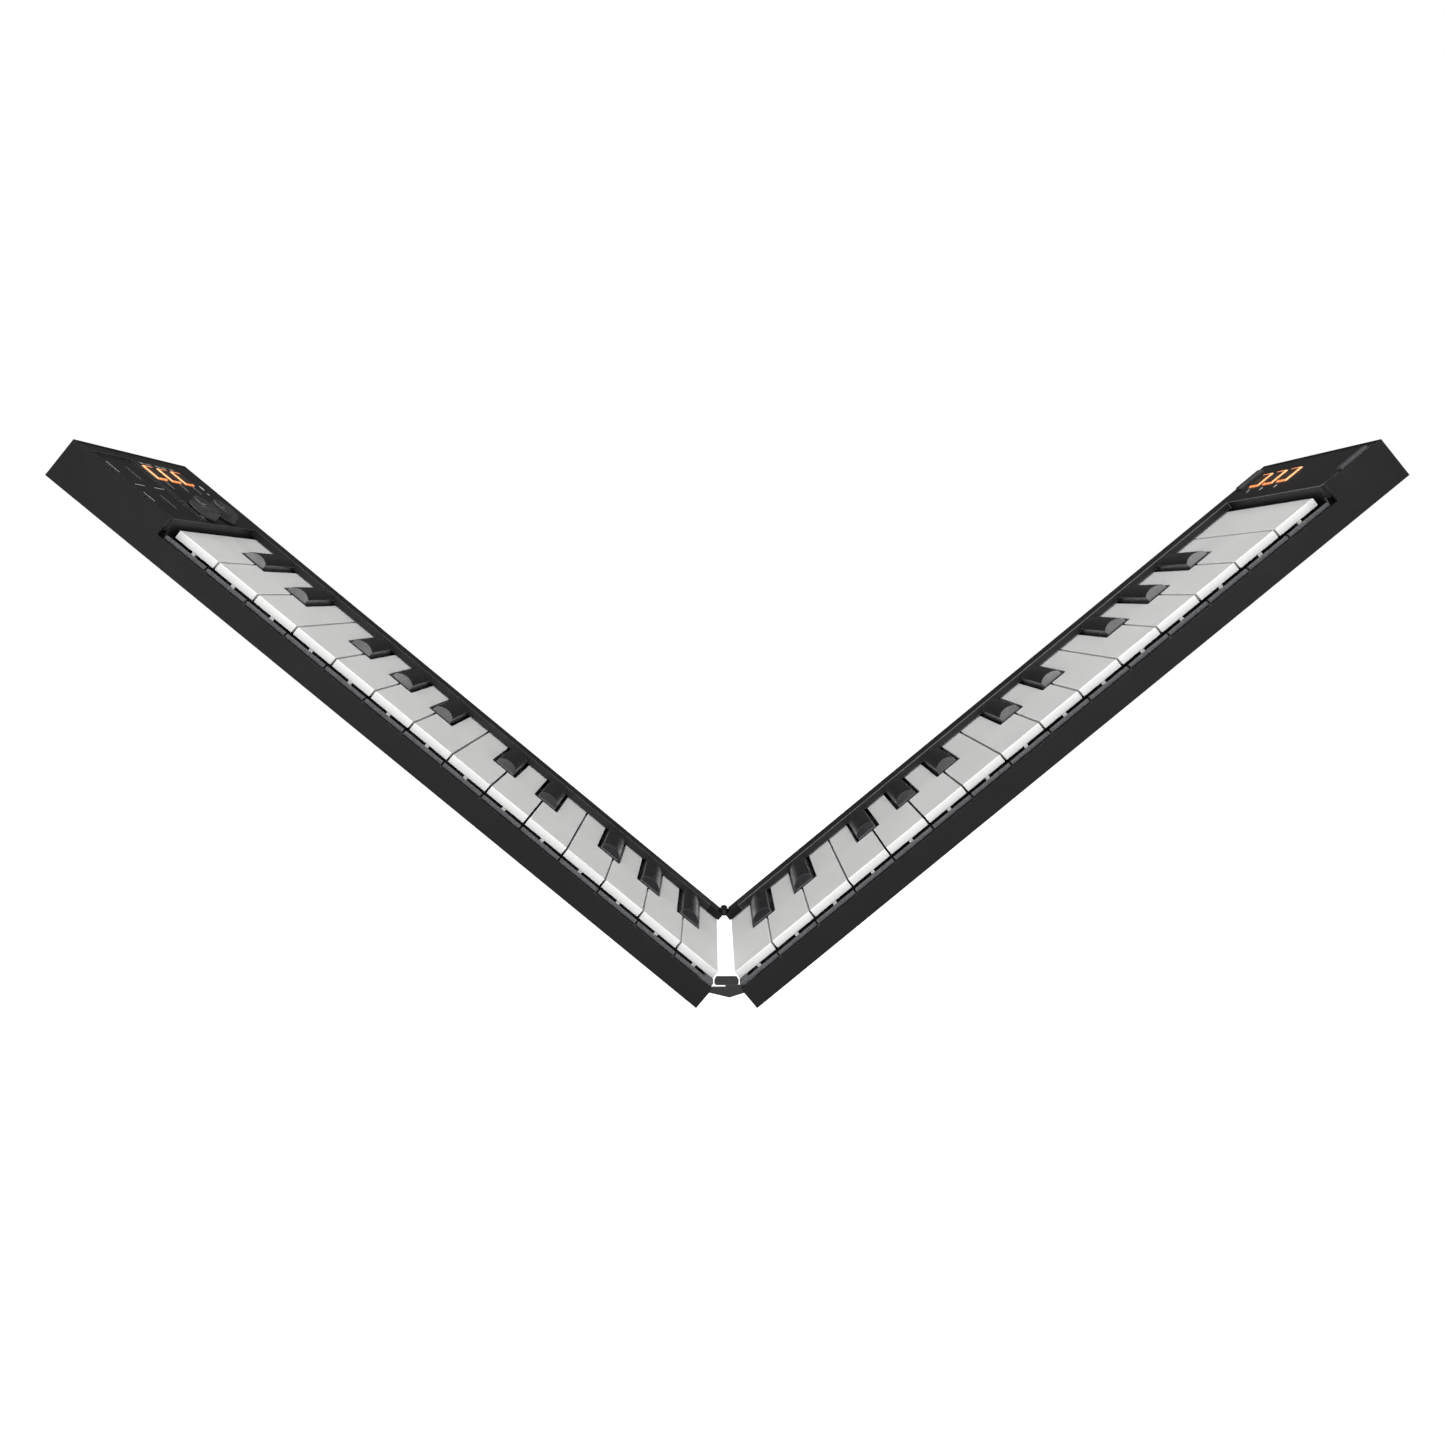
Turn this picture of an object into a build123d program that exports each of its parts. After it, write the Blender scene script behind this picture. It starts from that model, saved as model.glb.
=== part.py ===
"""Folding 49-key keyboard controller: two hinged case halves, raised into a V.

Every half is drawn in its own frame and then raised into place:
  l  runs along the keyboard, from the hinge end (0) to the outer end,
  y  runs from the front edge (0) to the rear edge,
  t  runs from the case's underside (0) to its top face.
The object's own frame has its origin midway between the two lower edges that it stands on.
"""
from build123d import *
from math import cos, radians, sin
import os

# ---- driving dimensions, millimetres and degrees ---------------------------------
HALF_LENGTH = 350.0
CASE_DEPTH = 105.0
CASE_HEIGHT = 19.1
ARM_RAISE = 39.9            # each half's slope at rest
PIVOT_ABOVE = 0.9           # hinge axis above the top faces
PIVOT_BEYOND = 0.2          # hinge axis beyond the hinge ends

WALL = 2.2
FLOOR = 1.8
END_WALL_TOP = 7.3          # the hinge end's wall passes under the pressed keys
LIP_TOP = 10.5              # front wall beside the keys
LIP_BOTTOM = 8.0
LIP_DEPTH = 3.4
COVER_THICKNESS = 2.0
SEAM = 0.1

KEY_PITCH = 21.25
KEY_GAP = 1.0
KEY_TOP = 15.3
KEY_UNDERSIDE = 11.6
KEY_FRONT = 10.9
KEY_REAR = 101.0
KEY_SKIN = 1.3
RAIL_FRONT = 94.2           # rear rail that covers the keys' tails
RAIL_UNDERSIDE = 15.7
PANEL_MARGIN = 2.0          # from the last key's pitch line to the control panel

BLACK_WIDTH = 10.2
BLACK_SHOULDER = 17.3
BLACK_CROWN = 18.8
BLACK_FRONT = 53.0
BLACK_SLOPE = 4.0           # run of the sloped front
BLACK_SLOPE_START = 15.8
BLACK_BODY_REAR = 93.6
BLACK_UNDERSIDE = 12.2
SLOT_WIDTH = 13.6           # cut-out in the white keys round each black key
SLOT_FRONT = 51.7

FULCRUM_Y = 98.5
FULCRUM_T = 10.0

COMB_FRONT = 3.5
COMB_THICKNESS = 1.6
COMB_TOP = 11.9
COMB_SLOT = 0.9

KNUCKLE_RADIUS = 1.9
KNUCKLE_RELIEF = 2.3
PIN_RADIUS = 0.9
PIN_CLEARANCE = 0.08
KNUCKLE_STARTS = (98.0, 100.4, 102.8)
KNUCKLE_WIDTH = 2.2
PLATE_RELIEF = 12.7         # room round the hinge axis for the front bridge's plate
BLOCK_RELIEF = 8.05         # and for its block
PLATE_REAR = 3.2
BLOCK_REAR = 5.2

KNOB_RADIUS = 7.2
KNOB_HEIGHT = 4.6
KNOB_LIFT = 0.4
KNOB_L = 308.3
KNOB_YS = {"front_knob": 47.8, "rear_knob": 68.8}
SHAFT_RADIUS = 3.0
SHAFT_BOTTOM = 12.0

BUTTON_SIZE = 9.6
BUTTON_PITCH = 14.1
BUTTON_L = 335.8
BUTTON_RISE = 0.8
BUTTON_GAP = 0.2
LEFT_BUTTON_Y = 62.6        # middle button of the left panel
RIGHT_BUTTON_Y = 69.5

# ---- derived ----------------------------------------------------------------------
EDGE_OFFSET = (PIVOT_BEYOND * cos(radians(ARM_RAISE))
               + (CASE_HEIGHT + PIVOT_ABOVE) * sin(radians(ARM_RAISE)))
PIVOT_L = -PIVOT_BEYOND
PIVOT_T = CASE_HEIGHT + PIVOT_ABOVE
PIVOT_HEIGHT = (PIVOT_T * cos(radians(ARM_RAISE))
                - PIVOT_BEYOND * sin(radians(ARM_RAISE)))
COVER_BOTTOM = CASE_HEIGHT - COVER_THICKNESS
COVER_REAR = CASE_DEPTH - WALL - SEAM
COVER_END = HALF_LENGTH - WALL - SEAM
BOSS_LENGTH = 8.0

WHITE_NOTES = ("c", "d", "e", "f", "g", "a", "b")
# How far each black key leans from the line between its neighbours, towards the lower one.
SHARP_LEAN = {"c": 1.9, "d": -1.9, "f": 2.8, "g": 0.0, "a": -2.8}
LEFT, RIGHT = -1, 1
HALVES = {LEFT: (2, 14), RIGHT: (4, 15)}      # lowest octave number, white keys


# ---- helpers ----------------------------------------------------------------------
def slab(l0, l1, y0, y1, t0, t1):
    """A block between two corners of the half's frame."""
    centre = Pos((l0 + l1) / 2, (y0 + y1) / 2, (t0 + t1) / 2)
    return centre * Box(l1 - l0, y1 - y0, t1 - t0)


def along_y(points, y0, y1):
    """A prism with an (l, t) outline, from y0 to y1."""
    outline = [(l, 0, t) for l, t in points]
    face = make_face(Polyline(*outline, close=True))
    return Pos(0, y0, 0) * extrude(face, y1 - y0, dir=(0, 1, 0))


def along_l(points, l0, l1):
    """A prism with a (y, t) outline, from l0 to l1."""
    outline = [(0, y, t) for y, t in points]
    face = make_face(Polyline(*outline, close=True))
    return Pos(l0, 0, 0) * extrude(face, l1 - l0, dir=(1, 0, 0))


def rod(radius, l, t, y0, y1):
    """A round bar parallel to the hinge axis."""
    return Pos(l, (y0 + y1) / 2, t) * Rot(90, 0, 0) * Cylinder(radius, y1 - y0)


def post(radius, l, y, t0, t1):
    """A round bar standing on the case's floor."""
    return Pos(l, y, (t0 + t1) / 2) * Cylinder(radius, t1 - t0)


def raised(shape, side):
    """Moves a shape from the half's frame to its place in the raised V."""
    if side == LEFT:
        shape = mirror(shape, about=Plane.YZ)
    return Pos(side * EDGE_OFFSET, -CASE_DEPTH / 2, 0) * Rot(0, -side * ARM_RAISE, 0) * shape


def save(name, *solids):
    """Writes one node, a group of separate solids when it has several."""
    shape = solids[0] if len(solids) == 1 else Compound(children=list(solids))
    export_step(shape, f"parts/{name}.step")
    print(name, round(shape.volume), "mm3")


def single(shape):
    """The one solid that a boolean result holds."""
    solids = shape.solids()
    assert len(solids) == 1, f"{len(solids)} solids where one was meant"
    return solids[0]


# ---- keyboard layout --------------------------------------------------------------
def keys_end(side):
    return HALVES[side][1] * KEY_PITCH


def panel_edge(side):
    return keys_end(side) + PANEL_MARGIN


def layout(side):
    """Yields (name, left end, right end) of each white key and (name, middle) of each black."""
    octave, count = HALVES[side]
    whites = []
    blacks = []
    for index in range(count):
        note = WHITE_NOTES[index % 7]
        number = octave + index // 7
        place = index if side == RIGHT else count - 1 - index
        l0 = place * KEY_PITCH
        whites.append((f"key_{note}{number}", l0 + KEY_GAP / 2, l0 + KEY_PITCH - KEY_GAP / 2))
        if note in SHARP_LEAN and index < count - 1:
            line = l0 + KEY_PITCH if side == RIGHT else l0
            middle = line - side * SHARP_LEAN[note]
            blacks.append((f"key_{note}sharp{number}", middle))
    return whites, blacks


def tail_ends(l0, l1, blacks):
    """A white key's width where the black keys' slots narrow it."""
    for _, middle in blacks:
        low, high = middle - SLOT_WIDTH / 2, middle + SLOT_WIDTH / 2
        if low < l0 < high:
            l0 = high
        if low < l1 < high:
            l1 = low
    return l0, l1


# ---- keys -------------------------------------------------------------------------
def key_foot(l0, l1):
    """The rear foot that rocks on the key bed's ridge."""
    foot_bottom = 9.2
    notch_half_width = 1.2
    foot = slab(l0, l1, FULCRUM_Y - 2.5, KEY_REAR, foot_bottom, KEY_UNDERSIDE + 1)
    notch = along_l([(FULCRUM_Y, FULCRUM_T + 0.05),
                     (FULCRUM_Y - notch_half_width, foot_bottom - 0.1),
                     (FULCRUM_Y + notch_half_width, foot_bottom - 0.1)], l0 - 1, l1 + 1)
    return foot - notch


def white_key(l0, l1, tail0, tail1):
    """A hollow white key: wide front, narrow tail, guide tab and rear foot."""
    ceiling = KEY_TOP - 1.8
    key = slab(l0, l1, KEY_FRONT, SLOT_FRONT, KEY_UNDERSIDE, KEY_TOP)
    key += slab(tail0, tail1, SLOT_FRONT - 1, KEY_REAR, KEY_UNDERSIDE, KEY_TOP)
    key -= slab(l0 + KEY_SKIN, l1 - KEY_SKIN, KEY_FRONT + 1.5, SLOT_FRONT - KEY_SKIN,
                KEY_UNDERSIDE - 1, ceiling)
    key -= slab(tail0 + KEY_SKIN, tail1 - KEY_SKIN, SLOT_FRONT + KEY_SKIN, FULCRUM_Y - 2.5,
                KEY_UNDERSIDE - 1, ceiling)
    tab_middle = (l0 + l1) / 2
    key += slab(tab_middle - 0.9, tab_middle + 0.9, KEY_FRONT + 0.6, KEY_FRONT + 2.4,
                7.6, KEY_TOP - 1)
    key += key_foot(tail0, tail1)
    return single(key)


def crowned_bar(half):
    """A bar with a black key's section: drafted sides and a top arched from side to side."""
    shoulder = half - 0.2
    sides = Polyline((-shoulder, 0, BLACK_SHOULDER), (-half, 0, KEY_TOP), (-half, 0, BLACK_UNDERSIDE),
                     (half, 0, BLACK_UNDERSIDE), (half, 0, KEY_TOP), (shoulder, 0, BLACK_SHOULDER))
    crown = ThreePointArc((shoulder, 0, BLACK_SHOULDER), (0, 0, BLACK_CROWN),
                          (-shoulder, 0, BLACK_SHOULDER))
    return extrude(make_face(Wire([*sides.edges(), crown])), CASE_DEPTH, dir=(0, 1, 0))


def black_key(middle):
    """A black key: crowned top, sloped front, tail under the rear rail."""
    side_view = along_l([(BLACK_FRONT, BLACK_UNDERSIDE), (BLACK_FRONT, BLACK_SLOPE_START),
                         (BLACK_FRONT + BLACK_SLOPE, BLACK_CROWN), (BLACK_BODY_REAR, BLACK_CROWN),
                         (BLACK_BODY_REAR, KEY_TOP), (KEY_REAR, KEY_TOP),
                         (KEY_REAR, BLACK_UNDERSIDE)], -10, 10)
    half = BLACK_WIDTH / 2
    key = side_view & crowned_bar(half)
    key -= slab(KEY_SKIN - half, half - KEY_SKIN, BLACK_FRONT + KEY_SKIN + BLACK_SLOPE,
                FULCRUM_Y - 4, BLACK_UNDERSIDE - 1, BLACK_SHOULDER - 1.6)
    key += key_foot(-half, half)
    return single(Pos(middle, 0, 0) * key)


# ---- case -------------------------------------------------------------------------
def knuckle_span(side):
    """Start and end of each hinge knuckle that this half carries."""
    own = KNUCKLE_STARTS[0::2] if side == LEFT else KNUCKLE_STARTS[1::2]
    return [(start, start + KNUCKLE_WIDTH) for start in own]


def case_tray(side):
    """The lower shell: floor, walls, hinge boss and knuckles."""
    edge = panel_edge(side)
    tray = slab(0, HALF_LENGTH, 0, CASE_DEPTH, 0, CASE_HEIGHT)
    tray -= slab(2, HALF_LENGTH - WALL, WALL, CASE_DEPTH - WALL, FLOOR, CASE_HEIGHT + 1)
    tray -= slab(-1, edge, -1, CASE_DEPTH - WALL, LIP_TOP, CASE_HEIGHT + 1)
    tray -= slab(-1, 3, WALL, CASE_DEPTH - WALL, END_WALL_TOP, CASE_HEIGHT + 1)
    tray += slab(0, edge, WALL - 0.5, LIP_DEPTH, LIP_BOTTOM, LIP_TOP)
    tray += slab(0, BOSS_LENGTH, RAIL_FRONT, CASE_DEPTH, RAIL_UNDERSIDE, CASE_HEIGHT)
    tray -= along_y(ring_points(PLATE_RELIEF), WALL, LIP_DEPTH + SEAM)
    tray -= end_corner()
    for start, end in knuckle_span(-side):
        tray -= rod(KNUCKLE_RELIEF, PIVOT_L, PIVOT_T, start - 0.1, end + 0.1)
    for start, end in knuckle_span(side):
        tray += rod(KNUCKLE_RADIUS, PIVOT_L, PIVOT_T, start, end)
    tray -= rod(PIN_RADIUS + PIN_CLEARANCE, PIVOT_L, PIVOT_T, 97, CASE_DEPTH + 1)
    for pocket in foot_pockets():
        tray -= pocket
    if side == LEFT:
        tray -= usb_opening()
    return single(tray)


def end_corner():
    """What is cut away to round the front wall's top corner beside the hinge."""
    radius = 0.5
    corner = slab(-1, radius, -1, LIP_DEPTH + 1, LIP_TOP - radius, LIP_TOP + 1)
    return corner - rod(radius, radius, LIP_TOP - radius, -2, LIP_DEPTH + 2)


def ring_points(radius, count=32):
    """A many-sided outline round the hinge axis."""
    points = []
    for step in range(count):
        angle = radians(360 * (step + 0.5) / count)
        points.append((PIVOT_L + radius * cos(angle), PIVOT_T + radius * sin(angle)))
    return points


FOOT_LENGTH = 26.0
FOOT_DEPTH = 9.0
FOOT_THICKNESS = 0.8
FOOT_PLACES = [(l, y) for l in (26.0, HALF_LENGTH - 26.0) for y in (14.0, CASE_DEPTH - 14.0)]


def foot_pockets():
    return [slab(l - FOOT_LENGTH / 2, l + FOOT_LENGTH / 2, y - FOOT_DEPTH / 2, y + FOOT_DEPTH / 2,
                 -1, FOOT_THICKNESS) for l, y in FOOT_PLACES]


def feet():
    """Rubber pads let into the underside, flush with it."""
    return [slab(l - FOOT_LENGTH / 2 + SEAM, l + FOOT_LENGTH / 2 - SEAM,
                 y - FOOT_DEPTH / 2 + SEAM, y + FOOT_DEPTH / 2 - SEAM,
                 0, FOOT_THICKNESS) for l, y in FOOT_PLACES]


USB_Y = 70.0
USB_T = 7.0
USB_WIDTH = 9.4
USB_HEIGHT = 3.6


def usb_opening():
    return slab(HALF_LENGTH - WALL - 1, HALF_LENGTH + 1, USB_Y - USB_WIDTH / 2,
                USB_Y + USB_WIDTH / 2, USB_T - USB_HEIGHT / 2, USB_T + USB_HEIGHT / 2)


def cover(side):
    """The upper shell: control panel, rear rail and the wall beside the last key."""
    edge = panel_edge(side)
    shell = slab(edge + 3, COVER_END, WALL + SEAM, COVER_REAR, COVER_BOTTOM, CASE_HEIGHT)
    shell += slab(edge, edge + 4, WALL + SEAM + 3, COVER_REAR, COVER_BOTTOM, CASE_HEIGHT)
    shell += slab(BOSS_LENGTH + SEAM, edge + 1, RAIL_FRONT, COVER_REAR, COVER_BOTTOM, CASE_HEIGHT)
    shell += slab(BOSS_LENGTH + SEAM, edge + 1, RAIL_FRONT, RAIL_FRONT + 1.6,
                  RAIL_UNDERSIDE, CASE_HEIGHT)
    shell += slab(edge, edge + 1.8, 8.0, COVER_REAR, FLOOR + SEAM, CASE_HEIGHT)
    shell += corner_post(edge)
    button_y = LEFT_BUTTON_Y if side == LEFT else RIGHT_BUTTON_Y
    hole = BUTTON_SIZE / 2 + BUTTON_GAP
    for y in button_rows(button_y):
        shell -= slab(BUTTON_L - hole, BUTTON_L + hole, y - hole, y + hole,
                      COVER_BOTTOM - 1, CASE_HEIGHT + 1)
    if side == LEFT:
        shell -= slab(302.0, 343.8, 5.9, 40.3, CASE_HEIGHT - 1.0, CASE_HEIGHT + 1)
        for y in KNOB_YS.values():
            shell -= post(SHAFT_RADIUS + 0.3, KNOB_L, y, COVER_BOTTOM - 1, CASE_HEIGHT + 1)
    return single(shell)


def corner_post(edge):
    """The rounded corner where the wall beside the keys turns along the front."""
    size = 5.0
    block = slab(edge, edge + size, WALL + SEAM, WALL + SEAM + size + 2, 12.8, CASE_HEIGHT)
    corner = block.edges().filter_by(Axis.Z).sort_by(lambda e: e.center().X + e.center().Y)[0]
    return fillet(corner, 3.0)


def button_rows(middle):
    return [middle + row * BUTTON_PITCH for row in (-1, 0, 1)]


def encoder(y):
    """A rotary encoder under the panel, which holds a knob's shaft."""
    housing = slab(KNOB_L - 6, KNOB_L + 6, y - 6, y + 6, 10.5, COVER_BOTTOM)
    return single(housing - post(SHAFT_RADIUS + 0.08, KNOB_L, y, SHAFT_BOTTOM - 0.1, CASE_HEIGHT))


def bumper(y0, y1):
    """A raised pad that keeps the closed halves apart."""
    height = 1.5
    outline = [(330.5, CASE_HEIGHT), (344.5, CASE_HEIGHT), (344.2, CASE_HEIGHT + height),
               (330.8, CASE_HEIGHT + height)]
    return along_y(outline, y0, y1)


# ---- key bed ----------------------------------------------------------------------
def key_bed(side):
    """The frame that the keys rock on, with the slotted strip in front of them."""
    end = keys_end(side)
    base_bottom, base_top = FLOOR + SEAM, FLOOR + 1.5
    rail_top = 8.6
    bed = slab(2.2, end, COMB_FRONT, KEY_REAR, base_bottom, base_top)
    bed += slab(2.2, end, COMB_FRONT, COMB_FRONT + COMB_THICKNESS, base_bottom, COMB_TOP)
    bed += slab(2.2, end, FULCRUM_Y - 1.5, FULCRUM_Y + 1.5, base_bottom, rail_top)
    bed += along_l([(FULCRUM_Y - 0.9, rail_top - 0.1), (FULCRUM_Y + 0.9, rail_top - 0.1),
                    (FULCRUM_Y, FULCRUM_T)], 2.2, end)
    for place in range(1, HALVES[side][1]):
        line = place * KEY_PITCH
        bed -= slab(line - COMB_SLOT / 2, line + COMB_SLOT / 2, COMB_FRONT - 1,
                    COMB_FRONT + COMB_THICKNESS + 1, LIP_BOTTOM, COMB_TOP + 1)
    bed += slab(0.4, 4.5, COMB_FRONT, KEY_FRONT - 0.5, END_WALL_TOP + SEAM, COMB_TOP)
    bed -= along_y(ring_points(BLOCK_RELIEF), WALL, BLOCK_REAR + 0.4)
    return single(bed)


def contact_board(side):
    """The circuit board under the keys."""
    return slab(6, keys_end(side) - 4, 40, 72, FLOOR + 1.6, FLOOR + 3.2)


def dome_strip(side):
    """The rubber strip with one contact dome under each key."""
    whites, blacks = layout(side)
    strip = slab(6, keys_end(side) - 4, 44, 68, FLOOR + 3.3, FLOOR + 4.1)
    middles = [(l0 + l1) / 2 for _, l0, l1 in whites]
    for middle in middles:
        strip += slab(middle - 3, middle + 3, 46, 52, FLOOR + 4, FLOOR + 6)
    for _, middle in blacks:
        strip += slab(middle - 3, middle + 3, 59, 65, FLOOR + 4, FLOOR + 6)
    return single(strip)


def main_board():
    """The processor board in the left panel's bay, with its USB socket."""
    board = slab(304, HALF_LENGTH - WALL - 1, 14, 92, 4.0, 5.6)
    wall = 0.3
    shell = slab(HALF_LENGTH - 9, HALF_LENGTH - 0.6, USB_Y - 4.5, USB_Y + 4.5,
                 USB_T - 1.4, USB_T + 1.7)
    shell -= slab(HALF_LENGTH - 8.5, HALF_LENGTH, USB_Y - 4.5 + wall, USB_Y + 4.5 - wall,
                  USB_T - 1.4 + wall, USB_T + 1.7 - wall)
    return [board, single(shell)]


# ---- controls ---------------------------------------------------------------------
def knob(y):
    """A knob with its shaft."""
    bottom = CASE_HEIGHT + KNOB_LIFT
    cap = post(KNOB_RADIUS, KNOB_L, y, bottom, CASE_HEIGHT + KNOB_HEIGHT)
    rim = cap.edges().filter_by(GeomType.CIRCLE).sort_by(Axis.Z)[-1]
    cap = chamfer(rim, 0.5)
    shaft = post(SHAFT_RADIUS, KNOB_L, y, SHAFT_BOTTOM, bottom + 0.5)
    return single(cap + shaft)


def button_mat(middle):
    """The moulded mat with a panel's three square buttons."""
    half = BUTTON_SIZE / 2
    web_top = COVER_BOTTOM - 1.0
    mat = slab(BUTTON_L - half, BUTTON_L + half, middle - BUTTON_PITCH - half,
               middle + BUTTON_PITCH + half, web_top - 1.2, web_top)
    for y in button_rows(middle):
        mat += slab(BUTTON_L - half, BUTTON_L + half, y - half, y + half,
                    web_top - 1.2, CASE_HEIGHT + BUTTON_RISE)
    return single(mat)


# ---- hinge bridge -----------------------------------------------------------------
def hinge_bridge():
    """The cover between the halves' front corners, which turns half as far as they fold."""
    def at_hinge(points, y0, y1):
        placed = [(x, PIVOT_HEIGHT + z) for x, z in points]
        return Pos(0, -CASE_DEPTH / 2, 0) * along_y(placed, y0, y1)
    plate = at_hinge([(-8.3, -9.2), (1.3, -11.5), (8.3, -9.2), (7.4, -5.9), (-0.5, -5.9),
                      (-0.5, -6.75), (-7.6, -6.75)], WALL + 0.3, PLATE_REAR)
    block = at_hinge([(-4.5, -6.2), (4.5, -6.2), (5.2, -5.5), (5.2, -4.4), (4.4, -2.9),
                      (-4.4, -2.9), (-5.2, -4.4), (-5.2, -5.5)], WALL + 0.6, BLOCK_REAR)
    return single(plate + block)


def hinge_pin():
    """The steel pin through the rear knuckles."""
    return Pos(0, -CASE_DEPTH / 2, 0) * rod(PIN_RADIUS, 0, PIVOT_HEIGHT, 97.6, CASE_DEPTH - 0.3)


# ---- assembly ---------------------------------------------------------------------
def build_half(side, name):
    whites, blacks = layout(side)
    save(f"{name}_case", *[raised(s, side) for s in [case_tray(side)] + feet()])
    cover_parts = [cover(side)]
    bed_parts = [key_bed(side), contact_board(side), dome_strip(side)]
    if side == LEFT:
        cover_parts += [encoder(y) for y in KNOB_YS.values()]
        bed_parts += main_board()
        for knob_name, y in KNOB_YS.items():
            save(knob_name, raised(knob(y), side))
    else:
        cover_parts += [bumper(1.2, 4.8), bumper(94.8, 100.4)]
    save(f"{name}_cover", *[raised(s, side) for s in cover_parts])
    save(f"{name}_key_bed", *[raised(s, side) for s in bed_parts])
    middle = LEFT_BUTTON_Y if side == LEFT else RIGHT_BUTTON_Y
    save(f"{name}_buttons", raised(button_mat(middle), side))
    for key_name, l0, l1 in whites:
        save(key_name, raised(white_key(l0, l1, *tail_ends(l0, l1, blacks)), side))
    for key_name, key_middle in blacks:
        save(key_name, raised(black_key(key_middle), side))


os.makedirs("parts", exist_ok=True)
build_half(LEFT, "left")
build_half(RIGHT, "right")
save("hinge_bridge", hinge_bridge(), hinge_pin())
print("hinge axis height", round(PIVOT_HEIGHT, 3), "edge offset", round(EDGE_OFFSET, 3))
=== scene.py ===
"""Looks of the folding keyboard controller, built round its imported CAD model."""

import math
import bpy
import bmesh
from mathutils import Matrix, Vector


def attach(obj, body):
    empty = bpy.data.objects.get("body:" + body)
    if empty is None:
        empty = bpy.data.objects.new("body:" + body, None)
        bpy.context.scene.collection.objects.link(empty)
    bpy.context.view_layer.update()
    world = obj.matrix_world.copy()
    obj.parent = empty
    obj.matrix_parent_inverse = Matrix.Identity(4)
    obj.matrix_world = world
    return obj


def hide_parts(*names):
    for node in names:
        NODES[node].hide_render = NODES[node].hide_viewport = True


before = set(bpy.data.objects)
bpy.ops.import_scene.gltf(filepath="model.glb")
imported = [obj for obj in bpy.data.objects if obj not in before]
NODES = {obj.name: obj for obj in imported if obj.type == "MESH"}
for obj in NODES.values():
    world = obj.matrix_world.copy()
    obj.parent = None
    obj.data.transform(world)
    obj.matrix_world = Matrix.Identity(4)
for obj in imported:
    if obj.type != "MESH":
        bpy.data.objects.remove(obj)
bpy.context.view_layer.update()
scene = bpy.context.scene

# ---- the halves' frames: l along the keyboard, y from front to rear, t up from the underside, in mm
RAISE = math.radians(39.9)          # slope of each half at rest
COS, SIN = math.cos(RAISE), math.sin(RAISE)
PIVOT_L, PIVOT_T = -0.2, 20.0       # the fold's axis, in a half's frame
EDGE = PIVOT_T * SIN - PIVOT_L * COS
DEPTH = 105.0
LEFT, RIGHT = -1, 1
NAME = {LEFT: "left", RIGHT: "right"}
TOP = 19.1                          # the panels' height above the underside
RECESS = 18.1                       # the touch field's height


def half_frame(side):
    """Takes (l, y, t) in mm to the row frame in metres."""
    return Matrix(((side * COS / 1000, 0, -side * SIN / 1000, side * EDGE / 1000),
                   (0, 0.001, 0, -DEPTH / 2000),
                   (SIN / 1000, 0, COS / 1000, 0),
                   (0, 0, 0, 1)))


HALF = {side: half_frame(side) for side in (LEFT, RIGHT)}


# ---- materials --------------------------------------------------------------------
class Shader:
    """A node tree under construction, with the principled shader at its end."""

    def __init__(self, name, rough=0.5, specular=0.5):
        self.material = bpy.data.materials.new(name)
        self.material.use_nodes = True
        self.tree = self.material.node_tree
        self.bsdf = self.tree.nodes["Principled BSDF"]
        self.bsdf.inputs["Roughness"].default_value = rough
        self.bsdf.inputs["Specular IOR Level"].default_value = specular
        coordinates = self.tree.nodes.new("ShaderNodeTexCoord")
        self.place = coordinates.outputs["Object"]

    def link(self, a, b):
        self.tree.links.new(a, b)

    def noise(self, scale, detail=2.0, rough=0.5, stretch=None):
        node = self.tree.nodes.new("ShaderNodeTexNoise")
        node.inputs["Scale"].default_value = scale
        node.inputs["Detail"].default_value = detail
        node.inputs["Roughness"].default_value = rough
        place = self.place
        if stretch:
            mapping = self.tree.nodes.new("ShaderNodeMapping")
            mapping.inputs["Scale"].default_value = stretch
            self.link(place, mapping.inputs["Vector"])
            place = mapping.outputs["Vector"]
        self.link(place, node.inputs["Vector"])
        return node.outputs["Fac"]

    def ramp(self, value, stops):
        node = self.tree.nodes.new("ShaderNodeValToRGB")
        elements = node.color_ramp.elements
        while len(elements) < len(stops):
            elements.new(0.5)
        for element, (position, color) in zip(elements, stops):
            element.position = position
            element.color = (*color, 1)
        self.link(value, node.inputs["Fac"])
        return node.outputs["Color"]

    def spread(self, value, low, high, start=0.3, end=0.7):
        node = self.tree.nodes.new("ShaderNodeMapRange")
        node.inputs["From Min"].default_value = start
        node.inputs["From Max"].default_value = end
        node.inputs["To Min"].default_value = low
        node.inputs["To Max"].default_value = high
        self.link(value, node.inputs["Value"])
        return node.outputs["Result"]

    def color(self, value):
        if isinstance(value, tuple):
            self.bsdf.inputs["Base Color"].default_value = (*value, 1)
        else:
            self.link(value, self.bsdf.inputs["Base Color"])

    def bump(self, *layers):
        """Each layer is (height socket, distance in metres)."""
        normal = None
        for height, distance in layers:
            node = self.tree.nodes.new("ShaderNodeBump")
            node.inputs["Distance"].default_value = distance
            self.link(height, node.inputs["Height"])
            if normal is not None:
                self.link(normal, node.inputs["Normal"])
            normal = node.outputs["Normal"]
        self.link(normal, self.bsdf.inputs["Normal"])


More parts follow.
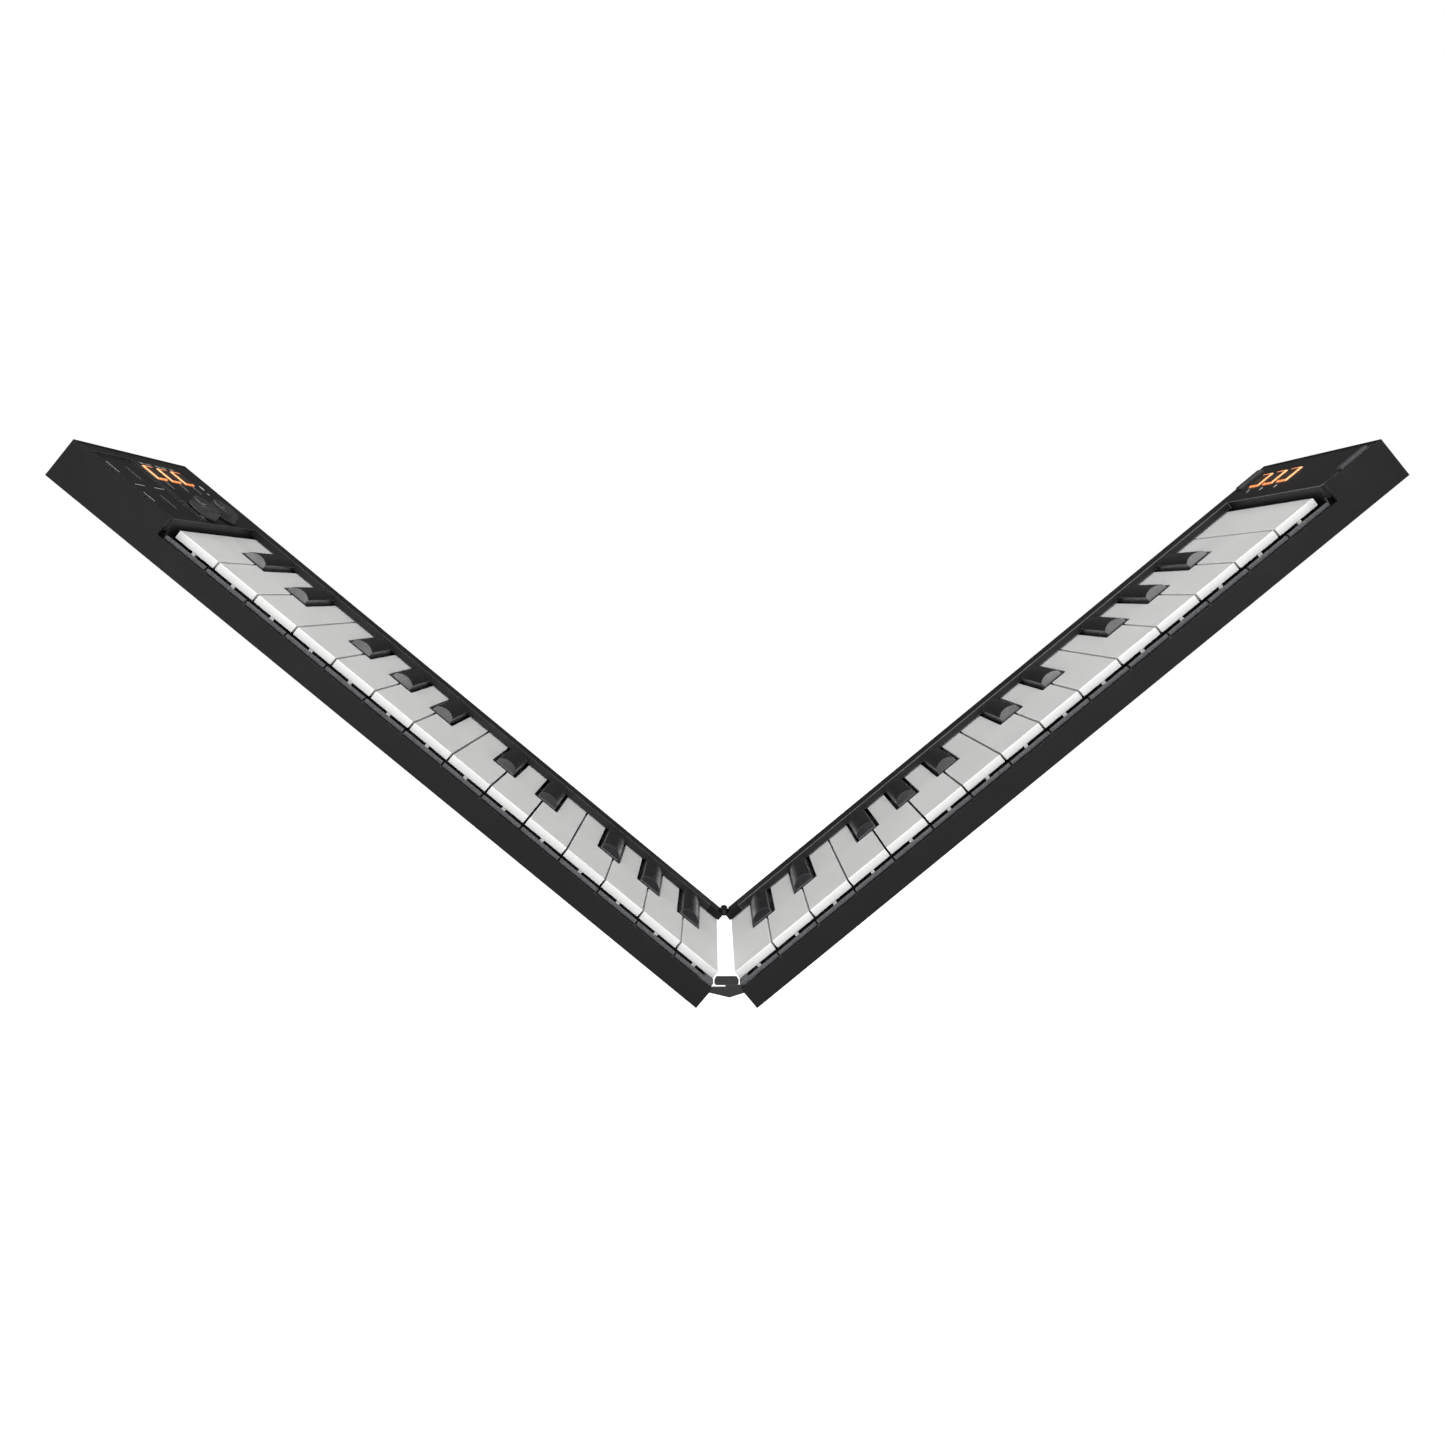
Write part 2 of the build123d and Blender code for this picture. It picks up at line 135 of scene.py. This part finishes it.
def grained_plastic(name, color, rough, specular, grain=0.000012, tone=0.12):
    """Moulded plastic: fine spark-eroded grain and slight tone changes."""
    s = Shader(name, rough, specular)
    dark = tuple(c * (1 - tone) for c in color)
    light = tuple(c * (1 + tone) for c in color)
    s.color(s.ramp(s.noise(38, 4), [(0.3, dark), (0.7, light)]))
    s.link(s.spread(s.noise(55, 5, 0.6), rough - 0.05, rough + 0.07), s.bsdf.inputs["Roughness"])
    s.bump((s.noise(2600, 2), grain), (s.noise(420, 3), grain * 0.6))
    return s.material


def key_plastic(name, color, rough, specular):
    """Key mouldings: nearly smooth, with faint tone changes and fine hairline marks from fingers."""
    s = Shader(name, rough, specular)
    shade = tuple(c * 0.965 for c in color)
    s.color(s.ramp(s.noise(22, 3), [(0.35, shade), (0.65, color)]))
    s.link(s.spread(s.noise(60, 5, 0.65), rough - 0.06, rough + 0.08), s.bsdf.inputs["Roughness"])
    s.bump((s.noise(1500, 2), 0.000004), (s.noise(30, 2), 0.00003))
    return s.material


def speckled_plastic(name, color, rough, specular):
    """The coarse-grained strip in front of the keys."""
    s = Shader(name, rough, specular)
    low = tuple(c * 0.55 for c in color)
    high = tuple(c * 1.5 for c in color)
    s.color(s.ramp(s.noise(900, 4, 0.7), [(0.32, low), (0.68, high)]))
    s.bump((s.noise(1400, 3, 0.7), 0.00003))
    return s.material


def soft_rubber(name, color, rough=0.75, specular=0.3):
    """Silicone and rubber: matt, slightly dusty in patches."""
    s = Shader(name, rough, specular)
    dusty = tuple(min(1, c * 1.45 + 0.004) for c in color)
    s.color(s.ramp(s.noise(140, 5, 0.7), [(0.4, color), (0.75, dusty)]))
    s.link(s.spread(s.noise(90, 4), rough - 0.06, rough + 0.1), s.bsdf.inputs["Roughness"])
    s.bump((s.noise(1900, 3), 0.000015))
    return s.material


def metal(name, color, rough, brushed=(1, 1, 1)):
    """Steel with fine drawn lines."""
    s = Shader(name, rough)
    s.bsdf.inputs["Metallic"].default_value = 1.0
    dark = tuple(c * 0.8 for c in color)
    lines = s.noise(900, 3, 0.6, brushed)
    s.color(s.ramp(lines, [(0.3, dark), (0.7, color)]))
    s.link(s.spread(lines, rough - 0.08, rough + 0.1), s.bsdf.inputs["Roughness"])
    s.bump((lines, 0.00001))
    return s.material


def glow(name, inner, outer, strength):
    """A lit rim: hotter in the middle of its patches."""
    s = Shader(name, 0.45)
    tone = s.ramp(s.noise(260, 2), [(0.3, outer), (0.7, inner)])
    s.color(tone)
    s.link(tone, s.bsdf.inputs["Emission Color"])
    s.bsdf.inputs["Emission Strength"].default_value = strength
    return s.material


def ink(name, color):
    """Screen-printed marks, slightly uneven."""
    s = Shader(name, 0.6, 0.3)
    thin = tuple(c * 0.6 for c in color)
    s.color(s.ramp(s.noise(800, 4, 0.7), [(0.3, thin), (0.6, color)]))
    return s.material


def with_edges(make, name, color, edge_highlight, rough, specular):
    """A plastic for a moulding's faces, and a lighter copy of it on its edges: a painted highlight
    where light catches the rounded edges.
    """
    return make(name, color, rough, specular), make(name + "_edge", edge_highlight, rough - 0.1, specular)


# Each pair's second colour is much lighter than the first: a painted highlight on the rounded edges,
# standing in for light caught there.
CASE = with_edges(grained_plastic, "case_plastic", (0.0045, 0.0045, 0.005),
                  (0.15, 0.15, 0.155), 0.38, 0.11)
COVER = with_edges(grained_plastic, "cover_plastic", (0.014, 0.014, 0.0146),
                   (0.15, 0.15, 0.155), 0.42, 0.18)
BED = with_edges(speckled_plastic, "bed_plastic", (0.075, 0.077, 0.083),
                 (0.12, 0.122, 0.128), 0.6, 0.35)
WHITE = with_edges(key_plastic, "white_key", (0.70, 0.70, 0.692),
                   (0.88, 0.88, 0.86), 0.38, 0.3)
BLACK = with_edges(key_plastic, "black_key", (0.014, 0.0144, 0.016),
                   (0.07, 0.073, 0.08), 0.27, 0.5)
HINGE = with_edges(grained_plastic, "hinge_metal", (0.004, 0.004, 0.0045),
                   (0.03, 0.03, 0.032), 0.32, 0.3)
KNOB = soft_rubber("knob_plastic", (0.022, 0.022, 0.0235), 0.45, 0.5)
CAP = soft_rubber("button_rubber", (0.03, 0.016, 0.010), 0.62, 0.3)
RIM = glow("button_rim", (1.0, 0.36, 0.13), (0.80, 0.23, 0.07), 0.62)
# Copies of the rim's glow for its front and rear faces: brighter and lighter in front as painted
# light, dimmer and darker behind as painted shade.
RIM_PAINTED_LIT = glow("button_rim_painted_lit", (1.0, 0.48, 0.22), (0.95, 0.36, 0.14), 0.8)
RIM_PAINTED_SHADE = glow("button_rim_painted_shade", (0.62, 0.20, 0.06), (0.40, 0.11, 0.035), 0.4)
LAMP = glow("status_lamp", (0.5, 0.5, 0.51), (0.30, 0.31, 0.33), 0.35)
FOOT = soft_rubber("foot_rubber", (0.02, 0.02, 0.021))
BUMPER = soft_rubber("bumper_rubber", (0.032, 0.033, 0.036), 0.6, 0.3)
STEEL = metal("screw_steel", (0.45, 0.45, 0.46), 0.35)
SOCKET = metal("socket_steel", (0.55, 0.55, 0.56), 0.3, (1, 20, 1))
MARK = ink("panel_ink", (0.45, 0.45, 0.45))
FAINT = ink("panel_ink_faint", (0.26, 0.26, 0.26))


# ---- dressing the CAD nodes -------------------------------------------------------
PAINTED_HIGHLIGHT_SLOT = 1                       # the material slot that bevelled edges take, holding their painted highlight
SHARP = math.radians(32)            # edges that turn more than this are rounded


def dress(name, materials, width):
    """A CAD node keeps its mesh and gets its materials, the second one, a painted highlight, on its
    rounded edges.
    """
    obj = NODES[name]
    obj.data.materials.clear()
    for material in materials:
        obj.data.materials.append(material)
    weld = obj.modifiers.new("weld", "WELD")
    weld.merge_threshold = 0.000004
    flat = obj.modifiers.new("flat", "DECIMATE")
    flat.decimate_type = "DISSOLVE"
    flat.angle_limit = math.radians(0.6)
    bevel = obj.modifiers.new("bevel", "BEVEL")
    bevel.width = width
    bevel.segments = 2
    bevel.limit_method = "ANGLE"
    bevel.angle_limit = SHARP
    bevel.use_clamp_overlap = True
    # the rounded edges take the lighter material, a painted highlight
    bevel.material = PAINTED_HIGHLIGHT_SLOT
    normals = obj.modifiers.new("normals", "WEIGHTED_NORMAL")
    normals.keep_sharp = False
    normals.weight = 80


for name in NODES:
    if name.startswith("key_"):
        dress(name, BLACK if "sharp" in name else WHITE, 0.0002)
for side in (LEFT, RIGHT):
    dress(NAME[side] + "_case", CASE, 0.00028)
    dress(NAME[side] + "_cover", COVER, 0.00025)
    dress(NAME[side] + "_key_bed", BED, 0.00012)
dress("hinge_bridge", HINGE, 0.0002)


# ---- building pieces in a half's frame ----------------------------------------------
def new_piece(name, built, side, body, materials, smooth=40):
    """Turns a bmesh into a piece that rides on a body.

    It is drawn in a half's (l, y, t) millimetres, or in the row frame's metres if side is None.
    """
    built.transform(HALF[side] if side else Matrix.Identity(4))
    bmesh.ops.recalc_face_normals(built, faces=built.faces)
    mesh = bpy.data.meshes.new(name)
    built.to_mesh(mesh)
    built.free()
    for material in materials:
        mesh.materials.append(material)
    obj = bpy.data.objects.new(name, mesh)
    scene.collection.objects.link(obj)
    mesh.shade_smooth()
    mesh.set_sharp_from_angle(angle=math.radians(smooth))
    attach(obj, body)
    return obj


def add_box(built, l0, l1, y0, y1, t0, t1, round_by=0.0, segments=2, material=0):
    """A block, its edges rounded when asked."""
    made = bmesh.ops.create_cube(built, size=1)
    verts = made["verts"]
    size = Vector((l1 - l0, y1 - y0, t1 - t0))
    middle = Vector((l0 + l1, y0 + y1, t0 + t1)) / 2
    for v in verts:
        v.co = Vector((v.co.x * size.x, v.co.y * size.y, v.co.z * size.z)) + middle
    faces = {f for v in verts for f in v.link_faces}
    if round_by:
        edges = list({e for v in verts for e in v.link_edges})
        made = bmesh.ops.bevel(built, geom=edges, offset=round_by, segments=segments,
                               profile=0.5, affect="EDGES")
        faces |= set(made["faces"])
    for f in faces:
        if f.is_valid:
            f.material_index = material


def rounded_square(half, radius, steps=6):
    """The outline of a square with rounded corners, as (a, b) offsets."""
    points = []
    for corner in range(4):
        middle_a = (half - radius) * (1 if corner in (0, 3) else -1)
        middle_b = (half - radius) * (1 if corner in (0, 1) else -1)
        for step in range(steps + 1):
            angle = math.radians(90 * corner + 90 * step / steps)
            points.append((middle_a + radius * math.cos(angle), middle_b + radius * math.sin(angle)))
    return points


def add_loops(built, loops, closed_ends=(False, True), material=0, wrap=False):
    """Skins a list of rings of points, each (l, y, t), and caps the ends that are asked for."""
    rings = [[built.verts.new(p) for p in ring] for ring in loops]
    count = len(rings[0])
    pairs = list(zip(rings, rings[1:])) + ([(rings[-1], rings[0])] if wrap else [])
    for low, high in pairs:
        for k in range(count):
            face = built.faces.new((low[k], low[(k + 1) % count], high[(k + 1) % count], high[k]))
            face.material_index = material
    if closed_ends[0]:
        built.faces.new(rings[0]).material_index = material
    if closed_ends[1]:
        built.faces.new(rings[-1]).material_index = material


# ---- square buttons -----------------------------------------------------------------
BUTTON_L = 335.8                    # middle of the buttons' column
BUTTON_YS = {LEFT: (48.5, 62.6, 76.7), RIGHT: (55.4, 69.5, 83.6)}
RIM_HALF = 4.8                      # half the width of a rim, and of the mat's sheet
BLOCK_HALF = 4.7                    # half the width of the block that carries a rim
BUTTON_CORNER = 0.4
SHEET_BOTTOM, SHEET_TOP = 14.9, 16.1
BLOCK_BOTTOM, BLOCK_TOP = 16.0, 17.1


def button_rim(built, y):
    """The translucent rim that lights round a cap; its front faces glow brighter as painted light and
    its rear faces dimmer as painted shade.
    """
    outer = [(RIM_HALF, 17.0), (RIM_HALF, 19.35), (4.66, 19.5), (4.5, 19.55)]
    inner = [(3.95, 19.55), (3.8, 19.45), (3.75, 19.2), (3.75, 17.0)]
    loops = []
    for half, t in outer + inner:
        square = rounded_square(half, BUTTON_CORNER)
        loops.append([(BUTTON_L + a, y + b, t) for a, b in square])
    known = set(built.faces)
    add_loops(built, loops, (False, False), 1, wrap=True)
    for face in set(built.faces) - known:
        offset = face.calc_center_median() - Vector((BUTTON_L, y, 0))
        # front faces take the painted-lit glow, rear faces the painted-shade glow; the sides keep the
        # plain glow
        if abs(offset.y) > abs(offset.x):
            face.material_index = 2 if offset.y < 0 else 3


def button_cap(built, y):
    """The dark cap, softly dished for a fingertip."""
    loops = []
    for half, t in ((3.6, 16.9), (3.6, 19.6), (3.52, 19.78), (3.36, 19.88), (3.1, 19.9),
                    (2.6, 19.84), (1.8, 19.77), (0.8, 19.74)):
        square = rounded_square(half, min(BUTTON_CORNER, half / 2))
        loops.append([(BUTTON_L + a, y + b, t) for a, b in square])
    add_loops(built, loops, (True, True), 0)


for side in (LEFT, RIGHT):
    built = bmesh.new()
    ys = BUTTON_YS[side]
    add_box(built, BUTTON_L - RIM_HALF, BUTTON_L + RIM_HALF, ys[0] - RIM_HALF, ys[-1] + RIM_HALF,
            SHEET_BOTTOM, SHEET_TOP, 0.3)
    for y in ys:
        add_box(built, BUTTON_L - BLOCK_HALF, BUTTON_L + BLOCK_HALF, y - BLOCK_HALF, y + BLOCK_HALF,
                BLOCK_BOTTOM, BLOCK_TOP, 0.1)
        button_rim(built, y)
        button_cap(built, y)
    mat = new_piece(NAME[side] + "_button_mat", built, side, NAME[side] + "_buttons",
                    [CAP, RIM, RIM_PAINTED_LIT, RIM_PAINTED_SHADE])
    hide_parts(NAME[side] + "_buttons")


# ---- knobs ----------------------------------------------------------------------------
KNOB_L = 308.3                      # middle of both knobs
KNOB_YS = {"front_knob": 47.8, "rear_knob": 68.8}
FLUTES = 40
POINTER_HALF = 0.35


def knob_ring(radius, t, y, flute=0.0):
    """One ring of a knob; flute is how deep its grip grooves are there."""
    ring = []
    steps = FLUTES * 6
    for step in range(steps):
        angle = 2 * math.pi * step / steps
        r = radius - flute * (0.5 - 0.5 * math.cos(FLUTES * angle)) ** 1.6
        ring.append((KNOB_L + r * math.cos(angle), y + r * math.sin(angle), t))
    return ring


def build_knob(body, y):
    """A fluted knob with a dished top and a raised pointer line; rows go from the shaft up."""
    built = bmesh.new()
    rows = [(3.0, 12.0, 0), (3.0, 19.5, 0), (6.6, 19.5, 0), (6.95, 19.56, 0), (7.1, 19.75, 0),
            (7.1, 20.15, 0), (7.0, 20.25, 0.0), (6.98, 20.4, 0.34), (6.92, 22.7, 0.34),
            (6.9, 22.95, 0.12), (6.86, 23.05, 0), (6.7, 23.3, 0), (6.45, 23.52, 0), (6.1, 23.62, 0),
            (5.7, 23.6, 0), (4.5, 23.42, 0), (2.5, 23.3, 0), (0.7, 23.27, 0)]
    add_loops(built, [knob_ring(r, t, y, flute) for r, t, flute in rows], (True, True), 0)
    add_box(built, KNOB_L - POINTER_HALF, KNOB_L + POINTER_HALF, y - 6.0, y - 2.6,
            23.28, 23.66, 0.12, 2, 1)
    obj = new_piece(body + "_grip", built, LEFT, body, [KNOB, MARK], 30)
    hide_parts(body)


for body, y in KNOB_YS.items():
    build_knob(body, y)


# ---- printed marks and lamps ------------------------------------------------------------
INK = 0.03                          # how far ink stands above what it is printed on
PANEL_TOP = TOP + INK
RECESS_TOP = RECESS + INK


def marks(name, side, rows, material, floor):
    """Thin printed bars, each (l, y, length along l, width along y)."""
    built = bmesh.new()
    for l, y, length, width in rows:
        add_box(built, l - length / 2, l + length / 2, y - width / 2, y + width / 2,
                floor - 0.05, floor)
    new_piece(name, built, side, NAME[side] + "_half", [material])


marks("touch_field_marks", LEFT, [(324.3, 34.2, 0.5, 9.0), (324.3, 16.4, 0.5, 8.6)],
      MARK, RECESS_TOP)
marks("touch_field_faint_marks", LEFT, [(333.6, 25.9, 8.6, 0.5), (314.2, 25.9, 9.0, 0.5)],
      FAINT, RECESS_TOP)
marks("touch_field_labels", LEFT, [(335.4, 10.6, 7.0, 0.9), (315.7, 10.6, 6.0, 0.9)],
      MARK, RECESS_TOP)
marks("button_labels", LEFT, [(327.5, y, 5.5, 1.0) for y in (49.2, 64.0, 78.0)],
      FAINT, PANEL_TOP)
marks("row_labels", LEFT, [(342.6, y, 1.0, 5.0) for y in (47.0, 53.5, 62.5, 69.0, 77.0)],
      FAINT, PANEL_TOP)
marks("knob_ticks", LEFT, [(309.6, 43.5, 3.0, 0.7), (304.6, 41.6, 2.4, 0.7)],
      MARK, PANEL_TOP)


def lamps(name, side, places):
    """Light windows just proud of the panel, each (l, y, radius along l, radius along y)."""
    steps = 28
    built = bmesh.new()
    for l, y, long_radius, short_radius in places:
        loops = []
        for scale, t in ((1.0, TOP - 0.3), (1.0, TOP + 0.04), (0.85, TOP + 0.09), (0.4, TOP + 0.12)):
            ring = []
            for step in range(steps):
                angle = 2 * math.pi * step / steps
                ring.append((l + long_radius * scale * math.cos(angle),
                             y + short_radius * scale * math.sin(angle), t))
            loops.append(ring)
        add_loops(built, loops, (True, True))
    new_piece(name, built, side, NAME[side] + "_half", [LAMP])


lamps("left_status_lamps", LEFT, [(331.0, 89.6, 1.7, 1.0), (326.0, 87.8, 0.7, 0.5)])
lamps("right_status_lamps", RIGHT, [(328.0, y, 1.1, 0.5) for y in (84.0, 70.3, 55.9)])


# ---- bumpers, feet, screws and the socket --------------------------------------------------
BUMPER_LS = (330.4, 344.6)
BUMPER_YS = ((1.1, 4.9), (94.7, 100.5))
BUMPER_HEIGHT = 1.56
FOOT_PLACES = [(l, y) for l in (26.0, 324.0) for y in (14.0, 91.0)]
FOOT_HALF_L, FOOT_HALF_Y = 12.8, 4.3
RIBS, RIB_PITCH, RIB_WIDTH = 9, 2.5, 1.4
SCREW_PLACES = [(l, y) for l in (60.0, 175.0, 290.0) for y in (20.0, 85.0)]
USB_Y, USB_T = 70.0, 7.15           # middle of the socket in the left half's end wall

built = bmesh.new()
for y0, y1 in BUMPER_YS:
    add_box(built, *BUMPER_LS, y0, y1, TOP, TOP + BUMPER_HEIGHT, 0.5, 3)
new_piece("bumper_pads", built, RIGHT, "right_half", [BUMPER])

for side in (LEFT, RIGHT):
    built = bmesh.new()
    for l, y in FOOT_PLACES:
        add_box(built, l - FOOT_HALF_L, l + FOOT_HALF_L, y - FOOT_HALF_Y, y + FOOT_HALF_Y,
                -0.12, 0.6, 0.35, 3)
        for rib in range(RIBS):
            start = l - 11.2 + rib * RIB_PITCH
            add_box(built, start, start + RIB_WIDTH, y - 3.3, y + 3.3, -0.2, 0.3, 0.08, 1)
    new_piece(NAME[side] + "_foot_pads", built, side, NAME[side] + "_half", [FOOT])


def screw(built, l, y):
    """A pan head with a cross recess, seen from below."""
    rim, arm, slot = 2.4, 1.35, 0.36
    cross = [(arm, -slot), (arm, slot), (slot, slot), (slot, arm), (-slot, arm), (-slot, slot),
             (-arm, slot), (-arm, -slot), (-slot, -slot), (-slot, -arm), (slot, -arm), (slot, -slot)]
    loops = []
    for radius, t in ((rim, 0.2), (rim, -0.12), (rim - 0.15, -0.25), (rim - 0.5, -0.32)):
        loops.append([(l + radius * math.cos(math.radians(30 * k - 15)),
                       y + radius * math.sin(math.radians(30 * k - 15)), t) for k in range(12)])
    loops.append([(l + a, y + b, -0.33) for a, b in cross])
    loops.append([(l + a * 0.8, y + b * 0.8, 0.15) for a, b in cross])
    add_loops(built, loops, (False, True))


for side in (LEFT, RIGHT):
    built = bmesh.new()
    for l, y in SCREW_PLACES:
        screw(built, l, y)
    new_piece(NAME[side] + "_screws", built, side, NAME[side] + "_half", [STEEL])

built = bmesh.new()
loops = []
for half_y, half_t, l in ((4.1, 1.15, 341.8), (4.1, 1.15, 349.2), (4.18, 1.23, 349.35),
                          (4.4, 1.45, 349.35), (4.45, 1.5, 349.1), (4.45, 1.5, 348.0)):
    ring = []
    for a, b in rounded_square(1.0, 0.9, 8):
        ring.append((l, USB_Y + a * half_t + math.copysign(half_y - half_t, a), USB_T + b * half_t))
    loops.append(ring)
add_loops(built, loops, (True, False))
new_piece("usb_socket_shell", built, LEFT, "left_half", [SOCKET])
built = bmesh.new()
add_box(built, 341.9, 348.2, USB_Y - 3.2, USB_Y + 3.2, USB_T - 0.35, USB_T + 0.35, 0.15)
new_piece("usb_socket_tongue", built, LEFT, "left_half", [HINGE[0]])

RIVET_X, RIVET_Z = 0.0012, 0.0060   # its middle on the bridge's small block, in metres
RIVET_STEPS = 20

built = bmesh.new()
loops = []
for radius, y in ((0.00045, -0.0496), (0.00045, -0.05003), (0.00036, -0.05008), (0.00015, -0.0501)):
    ring = []
    for step in range(RIVET_STEPS):
        angle = 2 * math.pi * step / RIVET_STEPS
        ring.append((RIVET_X + radius * math.cos(angle), y, RIVET_Z + radius * math.sin(angle)))
    loops.append(ring)
add_loops(built, loops, (True, True))
new_piece("bridge_rivet", built, None, "bridge", [HINGE[0]])


# ---- studio -----------------------------------------------------------------------
HORIZON, ZENITH = 0.04, 0.16        # brightness of the sky's light
REACH = 0.25                        # floor's depth, so that a half that folds out flat stays above it
FLOOR_RADIUS = 9.0


def sky():
    """Plain white behind the object; its light is dim near the horizon and brighter overhead."""
    world = bpy.data.worlds.new("studio")
    scene.world = world
    world.use_nodes = True
    nodes, links = world.node_tree.nodes, world.node_tree.links
    dome = nodes["Background"]
    place = nodes.new("ShaderNodeTexCoord")
    axes = nodes.new("ShaderNodeSeparateXYZ")
    ramp = nodes.new("ShaderNodeValToRGB")
    ramp.color_ramp.elements[0].position = 0.25
    ramp.color_ramp.elements[0].color = (HORIZON, HORIZON, HORIZON, 1)
    ramp.color_ramp.elements[1].position = 0.8
    ramp.color_ramp.elements[1].color = (ZENITH, ZENITH, ZENITH, 1)
    links.new(place.outputs["Generated"], axes.inputs["Vector"])
    links.new(axes.outputs["Z"], ramp.inputs["Fac"])
    links.new(ramp.outputs["Color"], dome.inputs["Color"])
    plain = nodes.new("ShaderNodeBackground")
    plain.inputs["Color"].default_value = (1, 1, 1, 1)
    path = nodes.new("ShaderNodeLightPath")
    either = nodes.new("ShaderNodeMixShader")
    links.new(path.outputs["Is Camera Ray"], either.inputs["Fac"])
    links.new(dome.outputs["Background"], either.inputs[1])
    links.new(plain.outputs["Background"], either.inputs[2])
    links.new(either.outputs["Shader"], nodes["World Output"].inputs["Surface"])


def softbox(name, place, width, height, radiance):
    """A rectangular light aimed at the object's middle."""
    light = bpy.data.lights.new(name, "AREA")
    light.shape = "RECTANGLE"
    light.size = width
    light.size_y = height
    light.energy = radiance * math.pi * width * height
    obj = bpy.data.objects.new(name, light)
    obj.location = place
    aim = Vector((0, 0, 0.1)) - Vector(place)
    obj.rotation_euler = aim.to_track_quat("-Z", "Y").to_euler()
    scene.collection.objects.link(obj)


def studio():
    """A pale floor, the sky and two soft lights; sizes and places here are in metres."""
    sky()
    mesh = bpy.data.meshes.new("floor")
    built = bmesh.new()
    bmesh.ops.create_circle(built, cap_ends=True, segments=96, radius=FLOOR_RADIUS)
    built.to_mesh(mesh)
    built.free()
    floor = bpy.data.objects.new("floor", mesh)
    scene.collection.objects.link(floor)
    floor.location.z = -REACH
    s = Shader("floor_paper", 0.9, 0.1)
    s.bsdf.inputs["Emission Color"].default_value = (1, 1, 1, 1)
    s.bsdf.inputs["Emission Strength"].default_value = 0.93
    s.color(s.ramp(s.noise(3, 3), [(0.3, (0.58, 0.58, 0.58)), (0.7, (0.6, 0.6, 0.6))]))
    mesh.materials.append(s.material)
    softbox("front_softbox", (0.0, -1.9, 0.7), 3.0, 1.5, 3.9)
    softbox("top_softbox", (0.0, 0.2, 2.2), 2.8, 0.5, 7.4)


def camera():
    """The photograph's viewpoint, fitted to corners of the two halves."""
    data = bpy.data.cameras.new("camera")
    data.sensor_width = 36
    data.lens = 29.896
    data.shift_x = 0.00858
    data.shift_y = -0.03536
    data.clip_start = 0.01
    data.clip_end = 50
    obj = bpy.data.objects.new("camera", data)
    obj.location = (-0.00674, -0.55169, 0.17513)
    obj.rotation_euler = (math.radians(90 - 3.651), 0, math.radians(0.031))
    scene.collection.objects.link(obj)
    scene.camera = obj


studio()
camera()
scene.view_settings.view_transform = "Standard"
